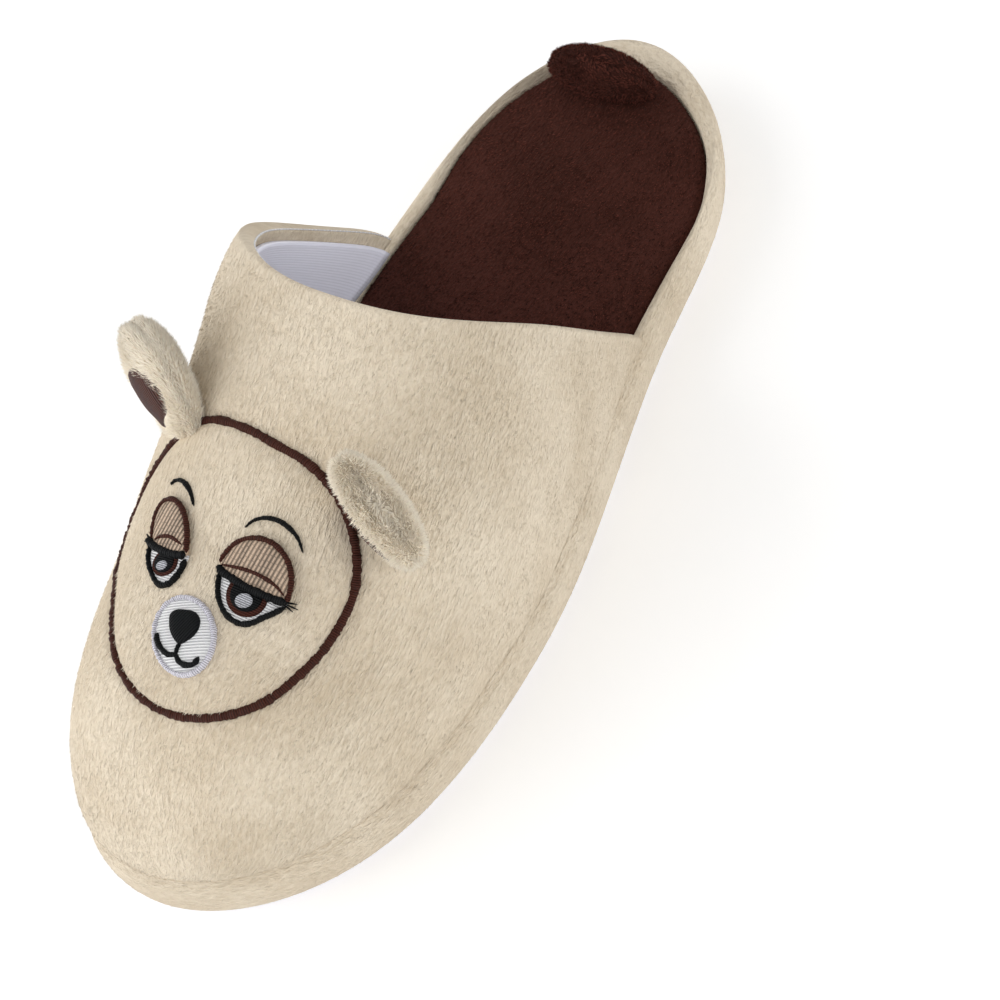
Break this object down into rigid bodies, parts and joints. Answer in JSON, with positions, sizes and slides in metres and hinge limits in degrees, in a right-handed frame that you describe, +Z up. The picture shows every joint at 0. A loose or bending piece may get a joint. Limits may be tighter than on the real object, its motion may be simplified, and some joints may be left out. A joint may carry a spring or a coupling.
{
  "type": "animal slipper",
  "caption": "Plush slip-on house slipper for the right foot, with a closed toe, an open heel, an embroidered animal face, two stuffed ears and a small tail tab.",
  "frame": {"origin": "middle of the slipper's length on its centre line, on the flat underside of the outsole, so on the floor", "axes": "+Y from toe to heel, +X to the medial side of a right foot, +Z up"},
  "size_m": [0.0913, 0.2618, 0.0933],
  "materials": {
    "cream_plush": "short cream plush pile, matt with a soft sheen",
    "brown_plush": "short dark brown plush pile, matt with a soft sheen",
    "outsole_textile": "pale knitted textile with small raised grip dots"
  },
  "bodies": {
    "root": {"outsole": "outsole_textile", "sole_band": "cream_plush", "insole": "brown_plush", "upper": "cream_plush", "ear_left": "cream_plush", "ear_right": "cream_plush", "tail": "brown_plush"}
  },
  "joints": []
}
